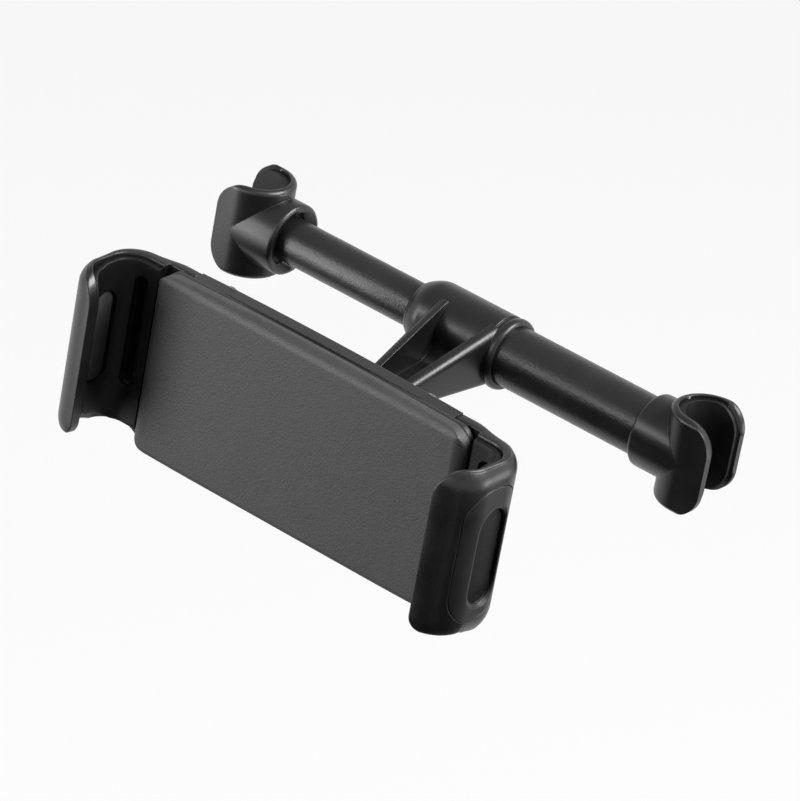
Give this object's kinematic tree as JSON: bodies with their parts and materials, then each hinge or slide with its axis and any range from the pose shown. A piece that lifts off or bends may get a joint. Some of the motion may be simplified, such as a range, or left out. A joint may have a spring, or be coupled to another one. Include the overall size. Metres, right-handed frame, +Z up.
{
  "type": "tablet holder",
  "caption": "Tablet holder for a headrest: telescopic bar with a clip at each end, a hollow arm with a ball joint, and a wide head with sprung jaws.",
  "frame": {"origin": "on the bar's axis, at the arm and at the middle of the head's width", "axes": "+X along the bar to the viewer's right, +Y towards the seat, away from the viewer, +Z up along the headrest posts"},
  "size_m": [0.1621, 0.0968, 0.0507],
  "materials": {
    "black_plastic": "fine satin grain",
    "plate_plastic": "matte, fine grain",
    "tube_black": "satin black coat",
    "rubber": "matte",
    "acetal": "smooth, off-white",
    "steel": "zinc plated"
  },
  "bodies": {
    "fixed_side": {"mount_bracket": "black_plastic", "outer_tube": "tube_black", "mouth_bush": "acetal", "tube_grub_screw": "steel", "right_hook": "black_plastic", "right_hook_liner": "rubber", "right_plug": "black_plastic", "right_hook_screw": "steel", "bar_spring": "steel"},
    "sliding_side": {"inner_tube": "tube_black", "guide_ring": "acetal", "left_hook": "black_plastic", "left_hook_liner": "rubber", "left_bush": "black_plastic", "left_plug": "black_plastic", "left_hook_screw": "steel"},
    "tilting_seat": {"ball_seat": "acetal"},
    "turning_nut": {"lock_nut": "black_plastic"},
    "head": {"rear_housing": "black_plastic", "housing_lid": "black_plastic", "front_plate": "plate_plastic", "housing_screws": "steel", "left_jaw_spring": "steel", "right_jaw_spring": "steel"},
    "left_clamp": {"left_jaw": "black_plastic", "left_jaw_liner": "rubber", "left_jaw_cover": "black_plastic"},
    "right_clamp": {"right_jaw": "black_plastic", "right_jaw_liner": "rubber", "right_jaw_cover": "black_plastic"}
  },
  "joints": [
    {"name": "bar_telescope", "type": "slide", "parent": "fixed_side", "child": "sliding_side", "axis": [1, 0, 0], "range_m": [0, 0.036], "stiffness_N_per_m": 100, "springref_m": -0.03, "deforming": ["bar_spring"]},
    {"name": "head_tilt", "type": "hinge", "parent": "fixed_side", "child": "tilting_seat", "pos_m": [0, -0.045, -0.0046], "axis": [1, 0, 0], "range_deg": [-20, 20]},
    {"name": "head_yaw", "type": "hinge", "parent": "tilting_seat", "child": "turning_nut", "pos_m": [0, -0.045, -0.0046], "axis": [0, 0, 1], "range_deg": [-20, 20]},
    {"name": "head_spin", "type": "hinge", "parent": "turning_nut", "child": "head", "pos_m": [0, -0.045, -0.0046], "axis": [0, 1, 0], "continuous": true},
    {"name": "left_jaw_slide", "type": "slide", "parent": "head", "child": "left_clamp", "axis": [-1, 0, 0], "range_m": [0, 0.035], "stiffness_N_per_m": 150, "springref_m": -0.03, "deforming": ["left_jaw_spring"]},
    {"name": "right_jaw_slide", "type": "slide", "parent": "head", "child": "right_clamp", "axis": [1, 0, 0], "range_m": [0, 0.035], "stiffness_N_per_m": 150, "springref_m": -0.03, "deforming": ["right_jaw_spring"]}
  ]
}
